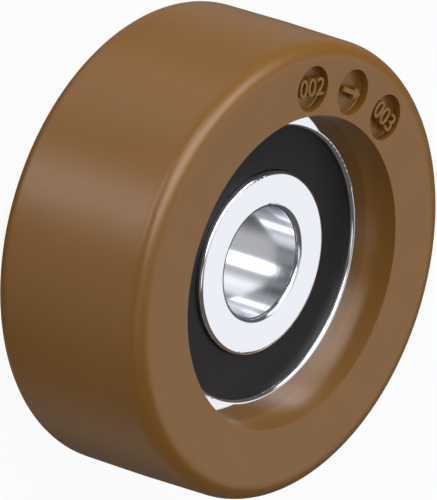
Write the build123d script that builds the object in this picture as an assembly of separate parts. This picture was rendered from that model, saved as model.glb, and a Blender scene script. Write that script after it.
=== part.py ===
from build123d import *
import math
import os

# Guide roller: a soft tread moulded over a hard core, which is moulded round a sealed ball bearing.
# All sizes in millimetres and degrees. The axle runs along Z and the origin is the middle of the bearing.

# Roller, built outwards from the bearing it is moulded round
core_thickness = 2.5
tread_thickness = 4.0
roller_width = 20.0
edge_radius = 2.0
draft_angle = 0.6
core_corner = 0.8
face_skin = 2.0

# Round flat-bottomed pockets in the front face, which hold the raised marks
pocket_margin = 0.45
pocket_depth = 1.05
pocket_corner = 0.15
pocket_count = 3
pocket_spacing = 20.0
middle_pocket_angle = 180.0

# Bearing rings
bore_diameter = 12.0
bearing_diameter = 37.0
bearing_width = 12.0
bearing_corner = 1.0
bore_corner = 0.6
lip_cover = 1.5
core_lip = 0.7
inner_ring_wall = 4.0
outer_ring_wall = 3.75
ring_corner = 0.45
land_step = 0.4

# Balls and their tracks
ball_diameter = 7.938
ball_count = 6
track_conformity = 0.52
ball_clearance = 0.02

# Ribbon cage
cage_thickness = 0.45
cage_gap = 0.35
cage_to_ball = 0.06
cage_to_seal = 0.1
rivet_diameter = 1.0
rivet_head_diameter = 1.8
rivet_head_height = 0.4

# Seals, each a rubber disc with a steel disc moulded into its inner side
seal_setback = 0.72
seal_bead = 0.6
lip_clearance = 0.05
insert_thickness = 0.2
insert_cover = 0.6

# Radii and half widths that follow from the sizes above
bearing_radius = bearing_diameter / 2
core_radius = bearing_radius + core_thickness
roller_radius = core_radius + tread_thickness
roller_half = roller_width / 2
bearing_half = bearing_width / 2
bore_radius = bore_diameter / 2
shoulder_radius = bore_radius + inner_ring_wall
mouth_radius = bearing_radius - outer_ring_wall
land_radius = mouth_radius - land_step
ball_radius = ball_diameter / 2
pitch_radius = (bore_radius + bearing_radius) / 2
track_radius = track_conformity * ball_diameter
recess_radius = bearing_radius - lip_cover
core_lip_radius = bearing_radius - core_lip
core_half = roller_half - face_skin
side_edge_radius = roller_radius - roller_half * math.tan(math.radians(draft_angle))
flat_radius = side_edge_radius - edge_radius
pocket_circle_radius = (recess_radius + flat_radius) / 2
pocket_radius = (flat_radius - recess_radius) / 2 - pocket_margin
dome_radius = ball_radius + cage_to_ball + cage_thickness
seal_face = bearing_half - seal_setback
seal_back = dome_radius + cage_to_seal
groove_radius = mouth_radius + seal_bead
lip_radius = shoulder_radius + lip_clearance
ball_angles = [index * 360 / ball_count for index in range(ball_count)]


def band(inner, outer, low, high):
    """Section of a ring between two radii and two heights."""
    return Pos((inner + outer) / 2, (low + high) / 2) * Rectangle(outer - inner, high - low)


def centred_band(inner, outer, half_width):
    """Section of a ring between two radii that reaches half_width either side of the middle."""
    return band(inner, outer, -half_width, half_width)


def both_sides(section):
    """A section above the middle together with its mirror image below."""
    return section + mirror(section, Plane.XZ)


def round_corners(section, radius_from_axis, height, fillet_radius):
    """Round the corners of a section that lie at one radius, above and below the middle."""
    corners = [
        vertex
        for vertex in section.vertices()
        if math.isclose(vertex.X, radius_from_axis, abs_tol=1e-6)
        and math.isclose(abs(vertex.Y), height, abs_tol=1e-6)
    ]
    return fillet(corners, fillet_radius)


def turned(section):
    """Turn a section, drawn with radius along X and height along Y, about the axle."""
    return revolve(Plane.XZ * section, Axis.Z)


def around_axle(angle, radius):
    """Place at an angle and radius round the axle."""
    return Rot(0, 0, angle) * Pos(radius, 0, 0)


def bearing_envelope():
    """Section of the whole bearing, as the moulding closes round it."""
    block = centred_band(0, bearing_radius, bearing_half)
    return round_corners(block, bearing_radius, bearing_half, bearing_corner)


def core_outline():
    """Section of the core before the bearing is taken out of it."""
    block = centred_band(core_lip_radius, core_radius, core_half)
    return round_corners(block, core_radius, core_half, core_corner)


def roller_outline():
    """Section of the moulded roller: drafted both ways from the middle, with rounded edges."""
    corners = [
        (0, roller_half),
        (side_edge_radius, roller_half),
        (roller_radius, 0),
        (side_edge_radius, -roller_half),
        (0, -roller_half),
    ]
    block = make_face(Polyline(*corners, close=True))
    block = round_corners(block, side_edge_radius, roller_half, edge_radius)
    return block - centred_band(0, recess_radius, roller_half)


def pocket():
    """Room of one pocket below the front face, with a small rounding round its floor."""
    room = Pos(0, 0, roller_half) * Cylinder(pocket_radius, 2 * pocket_depth)
    floor_edge = room.edges().sort_by(Axis.Z)[0]
    return fillet(floor_edge, pocket_corner)


def tread():
    """Soft outer moulding with the running surface, side faces, recess walls and mark pockets."""
    body = turned(roller_outline() - bearing_envelope() - core_outline())
    for index in range(pocket_count):
        offset = (index - (pocket_count - 1) / 2) * pocket_spacing
        body -= around_axle(middle_pocket_angle + offset, pocket_circle_radius) * pocket()
    return body


def core():
    """Hard ring that grips the bearing's outer ring and carries the tread."""
    return turned(core_outline() - bearing_envelope())


def track(centre_radius):
    """Round section of a ball track."""
    return Pos(centre_radius, 0) * Circle(track_radius)


def inner_ring():
    """Inner ring with its bore, shoulders and ball track."""
    section = centred_band(bore_radius, shoulder_radius, bearing_half)
    section = round_corners(section, bore_radius, bearing_half, bore_corner)
    section = round_corners(section, shoulder_radius, bearing_half, ring_corner)
    track_bottom = pitch_radius - ball_radius - ball_clearance
    return turned(section - track(track_bottom + track_radius))


def outer_ring():
    """Outer ring with its ball track, seal grooves and rounded mouths."""
    section = bearing_envelope() - centred_band(0, land_radius, bearing_half)
    section -= both_sides(band(0, mouth_radius, seal_face, bearing_half))
    section = round_corners(section, mouth_radius, bearing_half, ring_corner)
    section -= both_sides(band(0, groove_radius, seal_back, seal_face))
    track_bottom = pitch_radius + ball_radius + ball_clearance
    return turned(section - track(track_bottom - track_radius))


def ball(angle):
    """One ball in its place on the pitch circle."""
    return around_axle(angle, pitch_radius) * Sphere(ball_radius)


def cage_half():
    """Upper half of the ribbon cage: flats that meet the other half, and a dome over each ball."""
    inner = shoulder_radius + cage_gap
    outer = land_radius - cage_gap
    ribbon = turned(centred_band(inner, outer, 2 * dome_radius))
    half_space = Pos(0, 0, dome_radius) * Cylinder(bearing_diameter, 2 * dome_radius)
    flats = Pos(0, 0, cage_thickness / 2) * Cylinder(bearing_diameter, cage_thickness)
    domes = [around_axle(angle, pitch_radius) * Sphere(dome_radius) for angle in ball_angles]
    hollows = [around_axle(angle, pitch_radius) * Sphere(dome_radius - cage_thickness) for angle in ball_angles]
    holes = [place * Cylinder(rivet_diameter / 2, 4 * cage_thickness) for place in rivet_places()]
    return ((flats + domes) & half_space & ribbon) - hollows - holes


def rivet_places():
    """Places of the rivets, halfway between the balls."""
    half_step = 180 / ball_count
    return [around_axle(angle + half_step, pitch_radius) for angle in ball_angles]


def rivet():
    """Rivet through both cage halves, with a flat head on each side."""
    shank = Cylinder(rivet_diameter / 2, 2 * cage_thickness)
    head_height = cage_thickness + rivet_head_height / 2
    head = Pos(0, 0, head_height) * Cylinder(rivet_head_diameter / 2, rivet_head_height)
    return shank + head + mirror(head, Plane.XY)


def cage_rivets():
    """All the rivets of the cage."""
    return Compound([place * rivet() for place in rivet_places()])


def insert_section():
    """Section of the steel disc that stiffens a seal, flush with the seal's inner side."""
    return band(lip_radius + insert_cover, mouth_radius, seal_back, seal_back + insert_thickness)


def seal():
    """Rubber seal: its bead sits in the outer ring's groove and its lip runs on the inner ring."""
    rubber = band(lip_radius, groove_radius, seal_back, seal_face)
    return turned(rubber - insert_section())


def seal_insert():
    """Steel disc inside the front seal."""
    return turned(insert_section())


def rear(solid):
    """The same piece on the other side of the middle plane."""
    return mirror(solid, Plane.XY)


parts = {
    "tread": tread(),
    "core": core(),
    "inner_ring": inner_ring(),
    "outer_ring": outer_ring(),
    "cage_front": cage_half(),
    "cage_rear": rear(cage_half()),
    "cage_rivets": cage_rivets(),
    "seal_front": seal(),
    "seal_rear": rear(seal()),
    "seal_insert_front": seal_insert(),
    "seal_insert_rear": rear(seal_insert()),
}
for number, angle in enumerate(ball_angles, start=1):
    parts[f"ball_{number}"] = ball(angle)

os.makedirs("parts", exist_ok=True)
for name, shape in parts.items():
    export_step(shape, f"parts/{name}.step")
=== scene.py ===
import math

import bmesh
import bpy
from mathutils import Matrix, Vector


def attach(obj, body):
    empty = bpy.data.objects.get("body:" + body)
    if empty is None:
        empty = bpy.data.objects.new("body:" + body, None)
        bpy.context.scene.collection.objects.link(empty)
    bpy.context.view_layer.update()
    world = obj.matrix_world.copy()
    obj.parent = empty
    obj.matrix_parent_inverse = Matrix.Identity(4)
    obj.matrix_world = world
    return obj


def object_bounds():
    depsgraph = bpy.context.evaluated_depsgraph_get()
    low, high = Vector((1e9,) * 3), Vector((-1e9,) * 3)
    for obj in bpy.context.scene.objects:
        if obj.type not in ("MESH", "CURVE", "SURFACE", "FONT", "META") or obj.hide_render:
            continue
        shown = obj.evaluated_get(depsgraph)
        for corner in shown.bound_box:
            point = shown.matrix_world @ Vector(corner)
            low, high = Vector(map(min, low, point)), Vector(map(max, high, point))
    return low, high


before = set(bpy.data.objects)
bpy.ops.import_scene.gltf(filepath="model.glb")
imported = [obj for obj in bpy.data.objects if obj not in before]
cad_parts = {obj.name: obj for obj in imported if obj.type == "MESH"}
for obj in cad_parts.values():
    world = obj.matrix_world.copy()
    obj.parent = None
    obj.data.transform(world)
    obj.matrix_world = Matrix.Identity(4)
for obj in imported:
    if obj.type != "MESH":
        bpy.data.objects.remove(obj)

# Guide roller resting on its rear face with its axle upright, as the frame has it. Lengths are in metres
# and angles in degrees. Azimuths turn from +X towards +Y, and elevations rise from the horizon.

CAD_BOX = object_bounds()
FRONT = CAD_BOX[1].z
BACK = CAD_BOX[0].z

# The photograph's frame and view
IMAGE_HEIGHT_PX = 500
PX_PER_METRE = 9548.0
LENS_MM = 1300.0
SENSOR_MM = 36.0
VIEW_AZIMUTH = -88.1
VIEW_ELEVATION = 36.68
VIEW_ROLL = 107.45

# Middle of the picture, from the middle of the front face
CENTRE_RIGHT = -0.007721
CENTRE_UP = 0.002397

# Values between which nearly all of a noise texture lies
NOISE_LOW = 0.3
NOISE_HIGH = 0.7

# Roughness of polished steel
POLISH_SMOOTH = 0.03
POLISH_ROUGH = 0.07

# Bearing rings: a faint relief from turning, and a duller bore with marks drawn out along the axle
BORE_RADIUS = 0.006
BORE_CORNER = 0.0006
BORE_DULLNESS = 0.1
BORE_MARK_STRETCH = 50
TURNING_SHARE = 0.1

# Light on surfaces: soft and white from all round, brighter on one side, and a large soft lamp
WHITE = (1.0, 1.0, 1.0, 1.0)
AMBIENT = 0.87
AMBIENT_SLOPE = 0.8
BRIGHT_AZIMUTH = 213.0
LAMP_AZIMUTH = 180.0
LAMP_ELEVATION = 18.0
LAMP_DISTANCE = 0.6
LAMP_SIZE = 0.4
LAMP_WATTS = 1.45

# Studio that reflections show instead of that light
STUDIO_WHITE = (0.97, 0.98, 1.0, 1.0)
STUDIO_BASE = 0.11
GLEAM_ELEVATION = -33.0
GLEAM_HEIGHT = 52.0

# Floor: nearly plain white to the camera, with a faint shadow, and a pale grey in the light that it sheds
FLOOR_HALF = 3.0
FLOOR_GAP = 0.00001
FLOOR_WHITENESS = 0.94
FLOOR_TONE = 0.7

# Raised marks in the three pockets of the front face
MARK_CIRCLE = 0.01995
MARK_SPACING = 20.0
MIDDLE_MARK_ANGLE = 180.0
MARK_SETBACK = 0.00006
MARK_HEIGHT = 0.0011
MARK_BEVEL = 0.00005
DIGIT_SIZE = 0.00275
STROKE_GAIN = 0.00004
ARROW_LENGTH = 0.0032
ARROW_HEAD_LENGTH = 0.00115
ARROW_HEAD_WIDTH = 0.00135
ARROW_SHAFT_WIDTH = 0.00055


def sky_direction(azimuth, elevation):
    """Unit vector towards a place in the sky."""
    azimuth = math.radians(azimuth)
    elevation = math.radians(elevation)
    return Vector((
        math.cos(azimuth) * math.cos(elevation),
        math.sin(azimuth) * math.cos(elevation),
        math.sin(elevation),
    ))


def view_axes():
    """Unit vectors of the picture: to the right, up, and back towards the camera."""
    back = sky_direction(VIEW_AZIMUTH, VIEW_ELEVATION)
    level_right = Vector((-back.y, back.x, 0)).normalized()
    level_up = back.cross(level_right)
    roll = math.radians(VIEW_ROLL)
    right = level_right * math.cos(roll) + level_up * math.sin(roll)
    return right, back.cross(right), back


def add_camera():
    """Camera far off with a long lens, so that the view is nearly parallel, as in the photograph."""
    right, up, back = view_axes()
    data = bpy.data.cameras.new("camera")
    data.lens = LENS_MM
    # The sensor spans the picture's longer side, which is its height
    data.sensor_width = SENSOR_MM
    distance = IMAGE_HEIGHT_PX / PX_PER_METRE * LENS_MM / SENSOR_MM
    data.clip_start = distance / 2
    data.clip_end = distance * 2
    target = Vector((0, 0, FRONT)) + right * CENTRE_RIGHT + up * CENTRE_UP
    camera = bpy.data.objects.new("camera", data)
    axes = Matrix((right, up, back)).transposed()
    camera.matrix_world = Matrix.Translation(target + back * distance) @ axes.to_4x4()
    bpy.context.scene.collection.objects.link(camera)
    bpy.context.scene.camera = camera


def add_node(tree, kind, **settings):
    """New node with its settings."""
    node = tree.nodes.new(kind)
    for name, value in settings.items():
        setattr(node, name, value)
    return node


def feed(tree, socket, value):
    """Link a socket to an input, or set the input to a plain value."""
    if isinstance(value, bpy.types.NodeSocket):
        tree.links.new(value, socket)
    else:
        socket.default_value = value


def math_node(tree, operation, *values):
    """Output of a math node."""
    node = add_node(tree, "ShaderNodeMath", operation=operation)
    for socket, value in zip(node.inputs, values):
        feed(tree, socket, value)
    return node.outputs[0]


def vector_node(tree, operation, first, second, output="Vector"):
    """Output of a vector math node with two inputs."""
    node = add_node(tree, "ShaderNodeVectorMath", operation=operation)
    feed(tree, node.inputs[0], first)
    feed(tree, node.inputs[1], second)
    return node.outputs[output]


def spread(tree, value, from_low, from_high, to_low, to_high, easing="LINEAR"):
    """Value moved from one range to another, and held inside it."""
    node = add_node(tree, "ShaderNodeMapRange", interpolation_type=easing)
    feed(tree, node.inputs["Value"], value)
    node.inputs["From Min"].default_value = from_low
    node.inputs["From Max"].default_value = from_high
    node.inputs["To Min"].default_value = to_low
    node.inputs["To Max"].default_value = to_high
    return node.outputs["Result"]


def noise(tree, vector, size, detail=2.0):
    """Noise whose features are about one size across."""
    node = add_node(tree, "ShaderNodeTexNoise")
    feed(tree, node.inputs["Vector"], vector)
    node.inputs["Scale"].default_value = 1 / size
    node.inputs["Detail"].default_value = detail
    return node.outputs["Fac"]


def varied_colour(tree, shader, factor, dark, light):
    """Base colour that a factor varies between two tones."""
    node = add_node(tree, "ShaderNodeMix", data_type="RGBA")
    feed(tree, node.inputs["Factor"], factor)
    node.inputs["A"].default_value = (*dark, 1)
    node.inputs["B"].default_value = (*light, 1)
    tree.links.new(node.outputs["Result"], shader.inputs["Base Color"])


def varied_roughness(tree, shader, factor, smooth, rough):
    """Roughness that a noise varies between two values."""
    roughness = spread(tree, factor, NOISE_LOW, NOISE_HIGH, smooth, rough)
    tree.links.new(roughness, shader.inputs["Roughness"])


def plain_metal(shader, colour):
    """Metal of one colour."""
    shader.inputs["Base Color"].default_value = (*colour, 1)
    shader.inputs["Metallic"].default_value = 1


def mixed_shaders(tree, factor, first, second):
    """Output of a mix of two shaders."""
    node = add_node(tree, "ShaderNodeMixShader")
    feed(tree, node.inputs[0], factor)
    tree.links.new(first, node.inputs[1])
    tree.links.new(second, node.inputs[2])
    return node.outputs[0]


def add_bump(tree, shader, height, depth):
    """Fine relief on a surface, of one depth."""
    bump = add_node(tree, "ShaderNodeBump")
    bump.inputs["Distance"].default_value = depth
    feed(tree, bump.inputs["Height"], height)
    tree.links.new(bump.outputs["Normal"], shader.inputs["Normal"])


def new_material(name):
    """A new material, its node tree, its shader and the place on the object."""
    material = bpy.data.materials.new(name)
    material.use_nodes = True
    tree = material.node_tree
    place = add_node(tree, "ShaderNodeTexCoord").outputs["Object"]
    return material, tree, tree.nodes["Principled BSDF"], place


def turned_place(tree, place):
    """Distance from the axle and height, on which a texture runs in rings, as turning leaves them."""
    parts = add_node(tree, "ShaderNodeSeparateXYZ")
    tree.links.new(place, parts.inputs[0])
    flat = add_node(tree, "ShaderNodeCombineXYZ")
    tree.links.new(parts.outputs["X"], flat.inputs["X"])
    tree.links.new(parts.outputs["Y"], flat.inputs["Y"])
    length = add_node(tree, "ShaderNodeVectorMath", operation="LENGTH")
    tree.links.new(flat.outputs[0], length.inputs[0])
    rings = add_node(tree, "ShaderNodeCombineXYZ")
    tree.links.new(length.outputs["Value"], rings.inputs["X"])
    tree.links.new(parts.outputs["Z"], rings.inputs["Y"])
    return rings.outputs[0]


def tread_material():
    """Golden brown moulded polyurethane: a satin skin with a very fine grain and faint cloudiness."""
    material, tree, shader, place = new_material("tread_brown")
    clouds = noise(tree, place, size=0.006, detail=3)
    varied_colour(tree, shader, clouds, dark=(0.174, 0.073, 0.008), light=(0.194, 0.084, 0.011))
    varied_roughness(tree, shader, noise(tree, place, size=0.0012), smooth=0.31, rough=0.35)
    add_bump(tree, shader, noise(tree, place, size=0.00018), depth=0.000002)
    return material


def ring_material():
    """Ground bearing steel: polished faces with the finest of rings, and a bore with lengthwise marks."""
    material, tree, shader, place = new_material("polished_steel")
    plain_metal(shader, (0.80, 0.81, 0.85))
    rings = turned_place(tree, place)
    radius = vector_node(tree, "DOT_PRODUCT", rings, (1, 0, 0), "Value")
    in_bore = spread(tree, radius, BORE_RADIUS, BORE_RADIUS + BORE_CORNER, 1, 0)
    streaks = noise(tree, rings, size=0.0004)
    polish = spread(tree, streaks, NOISE_LOW, NOISE_HIGH, POLISH_SMOOTH, POLISH_ROUGH)
    roughness = math_node(tree, "MULTIPLY_ADD", in_bore, BORE_DULLNESS, polish)
    tree.links.new(roughness, shader.inputs["Roughness"])
    lengthwise = vector_node(tree, "MULTIPLY", place, (1, 1, 1 / BORE_MARK_STRETCH))
    marks = math_node(tree, "MULTIPLY", noise(tree, lengthwise, size=0.0002), in_bore)
    turning = math_node(tree, "MULTIPLY", noise(tree, rings, size=0.00008), TURNING_SHARE)
    add_bump(tree, shader, math_node(tree, "ADD", marks, turning), depth=0.000002)
    return material


def ball_material():
    """Mirror finish of the balls."""
    material, tree, shader, place = new_material("ball_steel")
    plain_metal(shader, (0.82, 0.83, 0.86))
    varied_roughness(tree, shader, noise(tree, place, size=0.0006), POLISH_SMOOTH, POLISH_ROUGH)
    return material


def sheet_material():
    """Pressed sheet steel of the cage, its rivets and the seals' discs."""
    material, tree, shader, place = new_material("pressed_steel")
    shader.inputs["Metallic"].default_value = 1
    patches = noise(tree, place, size=0.0015, detail=3)
    varied_colour(tree, shader, patches, dark=(0.42, 0.42, 0.42), light=(0.55, 0.55, 0.54))
    varied_roughness(tree, shader, noise(tree, place, size=0.0004), smooth=0.28, rough=0.42)
    add_bump(tree, shader, noise(tree, place, size=0.0001), depth=0.000001)
    return material


def seal_material():
    """Matt black nitrile rubber, with the faint rings of its mould."""
    material, tree, shader, place = new_material("seal_rubber")
    rings = turned_place(tree, place)
    patches = noise(tree, place, size=0.002, detail=3)
    varied_colour(tree, shader, patches, dark=(0.010, 0.009, 0.010), light=(0.014, 0.013, 0.014))
    varied_roughness(tree, shader, noise(tree, place, size=0.0005), smooth=0.46, rough=0.54)
    shader.inputs["Specular IOR Level"].default_value = 0.2
    add_bump(tree, shader, noise(tree, rings, size=0.0001), depth=0.0000006)
    return material


def core_material():
    """Natural nylon of the core, which the tread and the bearing hide."""
    material, tree, shader, place = new_material("core_nylon")
    clouds = noise(tree, place, size=0.004, detail=3)
    varied_colour(tree, shader, clouds, dark=(0.58, 0.53, 0.40), light=(0.66, 0.62, 0.50))
    varied_roughness(tree, shader, noise(tree, place, size=0.0006), smooth=0.38, rough=0.5)
    shader.inputs["Subsurface Weight"].default_value = 0.1
    shader.inputs["Subsurface Scale"].default_value = 0.001
    add_bump(tree, shader, noise(tree, place, size=0.0002), depth=0.000003)
    return material


def dress(names, material):
    """Give CAD nodes one material."""
    for name in names:
        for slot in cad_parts[name].material_slots:
            slot.link = "OBJECT"
            slot.material = material


def nodes_that_start(*beginnings):
    """Names of the CAD nodes that start with one of these words."""
    return [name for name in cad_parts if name.startswith(beginnings)]


def mark_place(angle):
    """Place of a mark: in the middle of its pocket, with its foot towards the axle."""
    spot = sky_direction(angle, 0) * MARK_CIRCLE
    spot.z = FRONT - MARK_SETBACK - MARK_HEIGHT / 2
    return Matrix.Translation(spot) @ Matrix.Rotation(math.radians(angle - 90), 4, "Z")


def add_mark(name, data, angle, material):
    """Raised mark that turns with the wheel."""
    mark = bpy.data.objects.new(name, data)
    data.materials.append(material)
    mark.matrix_world = mark_place(angle)
    bpy.context.scene.collection.objects.link(mark)
    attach(mark, "wheel")


def number_mark(digits):
    """Plain raised number of the mould."""
    data = bpy.data.curves.new("number", "FONT")
    data.body = digits
    data.size = DIGIT_SIZE
    data.align_x = "CENTER"
    data.align_y = "CENTER"
    data.extrude = MARK_HEIGHT / 2 - MARK_BEVEL
    data.bevel_depth = MARK_BEVEL
    data.offset = STROKE_GAIN - MARK_BEVEL
    return data


def arrow_mark():
    """Raised arrow that points clockwise, with a small bevel round its top."""
    half_length = ARROW_LENGTH / 2
    neck = half_length - ARROW_HEAD_LENGTH
    half_shaft = ARROW_SHAFT_WIDTH / 2
    half_head = ARROW_HEAD_WIDTH / 2
    upper = [(-half_length, half_shaft), (neck, half_shaft), (neck, half_head), (half_length, 0)]
    lower = [(x, -y) for x, y in reversed(upper[:-1])]
    outline = bmesh.new()
    corners = [outline.verts.new((x, y, -MARK_HEIGHT / 2)) for x, y in reversed(upper + lower)]
    base = outline.faces.new(corners)
    raised = bmesh.ops.extrude_face_region(outline, geom=[base])["geom"]
    top = [item for item in raised if isinstance(item, bmesh.types.BMVert)]
    bmesh.ops.translate(outline, verts=top, vec=(0, 0, MARK_HEIGHT))
    rim = [edge for edge in outline.edges if all(vert in top for vert in edge.verts)]
    bmesh.ops.bevel(outline, geom=rim, offset=MARK_BEVEL, segments=2, profile=0.5, affect="EDGES")
    bmesh.ops.recalc_face_normals(outline, faces=outline.faces)
    mesh = bpy.data.meshes.new("arrow")
    outline.to_mesh(mesh)
    outline.free()
    return mesh


def add_marks(material):
    """The arrow in the middle pocket and a plain number in each outer one."""
    add_mark("mark_number_1", number_mark("002"), MIDDLE_MARK_ANGLE + MARK_SPACING, material)
    add_mark("mark_arrow", arrow_mark(), MIDDLE_MARK_ANGLE, material)
    add_mark("mark_number_2", number_mark("003"), MIDDLE_MARK_ANGLE - MARK_SPACING, material)


def soft_box(tree, direction, azimuth, elevation, width, height, softness, strength):
    """Glow of one soft box, a patch of sky with soft edges, for reflections of the studio."""
    middle = sky_direction(azimuth, elevation)
    across = Vector((-middle.y, middle.x, 0)).normalized()
    fade = math.sin(math.radians(softness)) / 2
    facing = vector_node(tree, "DOT_PRODUCT", direction, middle, "Value")
    glow = math_node(tree, "GREATER_THAN", facing, 0.0)
    for axis, angle in ((across, width), (middle.cross(across), height)):
        offset = math_node(tree, "ABSOLUTE", vector_node(tree, "DOT_PRODUCT", direction, axis, "Value"))
        edge = math.sin(math.radians(angle / 2))
        inside = spread(tree, offset, edge - fade, edge + fade, 1.0, 0.0, "SMOOTHSTEP")
        glow = math_node(tree, "MULTIPLY", glow, inside)
    return math_node(tree, "MULTIPLY", glow, strength)


def floor_gleam(tree, direction, azimuth, width, softness, strength):
    """Glow of an upright strip low down, where the floor would mirror a panel."""
    return soft_box(tree, direction, azimuth, GLEAM_ELEVATION, width, GLEAM_HEIGHT, softness, strength)


def studio_glow(tree, direction):
    """Brightness of the studio in reflections."""
    boxes = [
        # Long high panel, which draws the line on the rounded edge and the sheen on the recess wall
        soft_box(tree, direction, azimuth=220, elevation=55, width=76, height=28, softness=10, strength=5.2),
        # Panel under it, which spreads both a little further
        soft_box(tree, direction, azimuth=229, elevation=32, width=30, height=28, softness=14, strength=3.4),
        # Low strip, which draws the edge's second line
        soft_box(tree, direction, azimuth=262, elevation=1, width=30, height=9, softness=6, strength=6.5),
        # Panel that the flat faces mirror towards the camera
        soft_box(tree, direction, azimuth=94, elevation=47, width=38, height=38, softness=8, strength=0.97),
        # Small panel, seen in the roundings of the rings
        soft_box(tree, direction, azimuth=316, elevation=46, width=18, height=30, softness=8, strength=0.9),
        # Overhead panel, which lights the steel when it is seen from above
        soft_box(tree, direction, azimuth=180, elevation=84, width=50, height=36, softness=20, strength=0.6),
        # Gleams that give the running surface its sheen and the bore its stripes
        floor_gleam(tree, direction, azimuth=30, width=24, softness=16, strength=0.2),
        floor_gleam(tree, direction, azimuth=143, width=44, softness=20, strength=0.25),
        floor_gleam(tree, direction, azimuth=207, width=36, softness=20, strength=0.8),
        floor_gleam(tree, direction, azimuth=265, width=17, softness=10, strength=2.9),
        floor_gleam(tree, direction, azimuth=272, width=90, softness=20, strength=0.43),
    ]
    glow = STUDIO_BASE
    for box in boxes:
        glow = math_node(tree, "ADD", box, glow)
    return glow


def background(tree, colour, strength):
    """Output of a background shader."""
    node = add_node(tree, "ShaderNodeBackground")
    node.inputs["Color"].default_value = colour
    feed(tree, node.inputs["Strength"], strength)
    return node.outputs[0]


def add_world():
    """White to the camera, soft light that is brighter on one side for surfaces, a studio in reflections."""
    world = bpy.data.worlds.new("studio")
    bpy.context.scene.world = world
    world.use_nodes = True
    tree = world.node_tree
    direction = add_node(tree, "ShaderNodeTexCoord").outputs["Generated"]
    path = add_node(tree, "ShaderNodeLightPath")
    side = vector_node(tree, "DOT_PRODUCT", direction, sky_direction(BRIGHT_AZIMUTH, 0), "Value")
    soft = background(tree, WHITE, math_node(tree, "MULTIPLY_ADD", side, AMBIENT_SLOPE, AMBIENT))
    studio = background(tree, STUDIO_WHITE, studio_glow(tree, direction))
    white = background(tree, WHITE, 1.0)
    lit = mixed_shaders(tree, path.outputs["Is Glossy Ray"], soft, studio)
    seen = mixed_shaders(tree, path.outputs["Is Camera Ray"], lit, white)
    tree.links.new(seen, tree.nodes["World Output"].inputs["Surface"])


def add_floor():
    """Plain white floor that keeps a faint shadow of the roller. Reflections show the studio instead."""
    mesh = bpy.data.meshes.new("floor")
    half = FLOOR_HALF
    corners = [(-half, -half, 0), (half, -half, 0), (half, half, 0), (-half, half, 0)]
    mesh.from_pydata(corners, [], [(0, 1, 2, 3)])
    floor = bpy.data.objects.new("floor", mesh)
    floor.location.z = BACK - FLOOR_GAP
    floor.visible_glossy = False
    bpy.context.scene.collection.objects.link(floor)
    material, tree, shader, place = new_material("floor_white")
    shader.inputs["Base Color"].default_value = (FLOOR_TONE, FLOOR_TONE, FLOOR_TONE, 1)
    shader.inputs["Roughness"].default_value = 0.9
    shader.inputs["Specular IOR Level"].default_value = 0
    white = add_node(tree, "ShaderNodeEmission")
    path = add_node(tree, "ShaderNodeLightPath")
    whiteness = math_node(tree, "MULTIPLY", path.outputs["Is Camera Ray"], FLOOR_WHITENESS)
    seen = mixed_shaders(tree, whiteness, shader.outputs[0], white.outputs[0])
    tree.links.new(seen, tree.nodes["Material Output"].inputs["Surface"])
    mesh.materials.append(material)


def add_lamp():
    """The large soft lamp, which faces the roller. Reflections show the studio instead."""
    data = bpy.data.lights.new("lamp", "AREA")
    data.size = LAMP_SIZE
    data.energy = LAMP_WATTS
    lamp = bpy.data.objects.new("lamp", data)
    place = sky_direction(LAMP_AZIMUTH, LAMP_ELEVATION) * LAMP_DISTANCE
    lamp.location = place
    lamp.rotation_mode = "QUATERNION"
    lamp.rotation_quaternion = place.to_track_quat("Z", "Y")
    lamp.visible_glossy = False
    bpy.context.scene.collection.objects.link(lamp)


def add_finishes():
    """Every CAD node gets the material of its kind."""
    brown = tread_material()
    dress(["tread"], brown)
    dress(["core"], core_material())
    dress(["inner_ring", "outer_ring"], ring_material())
    dress(["seal_front", "seal_rear"], seal_material())
    dress(nodes_that_start("ball"), ball_material())
    dress(nodes_that_start("cage", "seal_insert"), sheet_material())
    add_marks(brown)


def main():
    bpy.context.scene.view_settings.view_transform = "Standard"
    add_camera()
    add_world()
    add_floor()
    add_lamp()
    add_finishes()


main()
